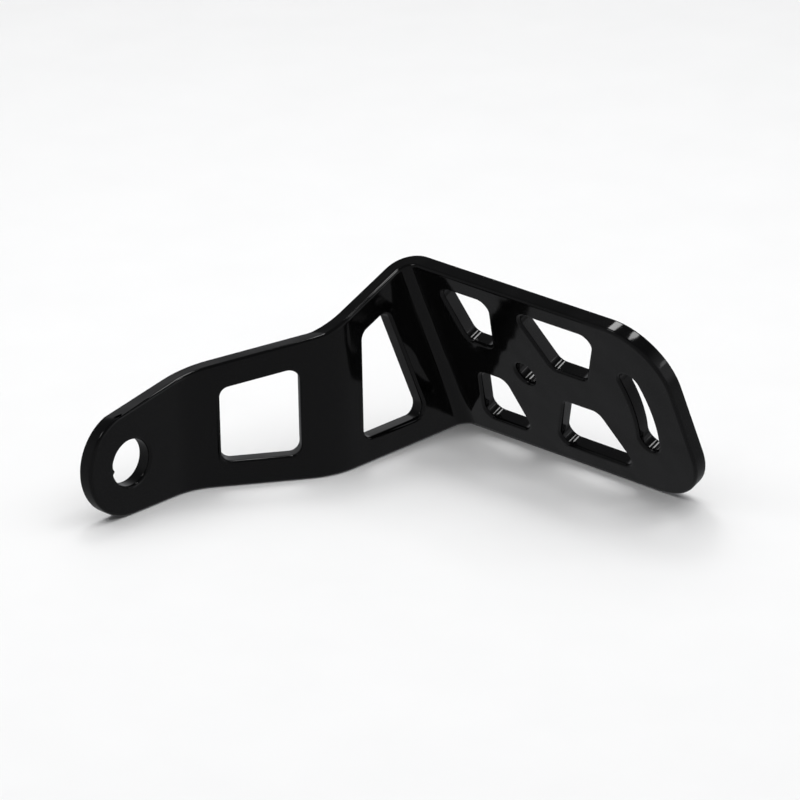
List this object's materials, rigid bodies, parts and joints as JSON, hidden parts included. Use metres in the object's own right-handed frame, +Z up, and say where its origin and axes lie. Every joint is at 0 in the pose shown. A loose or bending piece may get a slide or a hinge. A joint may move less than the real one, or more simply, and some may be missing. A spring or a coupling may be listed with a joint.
{
  "type": "side plate bracket",
  "caption": "Folded steel bracket: a round-ended tab with a bolt bore, a joggled arm with windows and a skewed flag with trapezoid windows, pivot hole and curved slot.",
  "frame": {"origin": "on the floor under the middle of the bounding box, with the bracket standing on its bottom edges", "axes": "+X along the arm from the tab towards the flag, +Z up, +Y along the axis of the bolt bore to the back of the tab; the flag reaches from the arm towards -Y, and its fold leans 22.8 degrees from upright with its top towards the tab"},
  "size_m": [0.1664, 0.1562, 0.0747],
  "materials": {
    "black_coat": "gloss"
  },
  "bodies": {
    "root": {"bracket": "black_coat"}
  },
  "joints": []
}
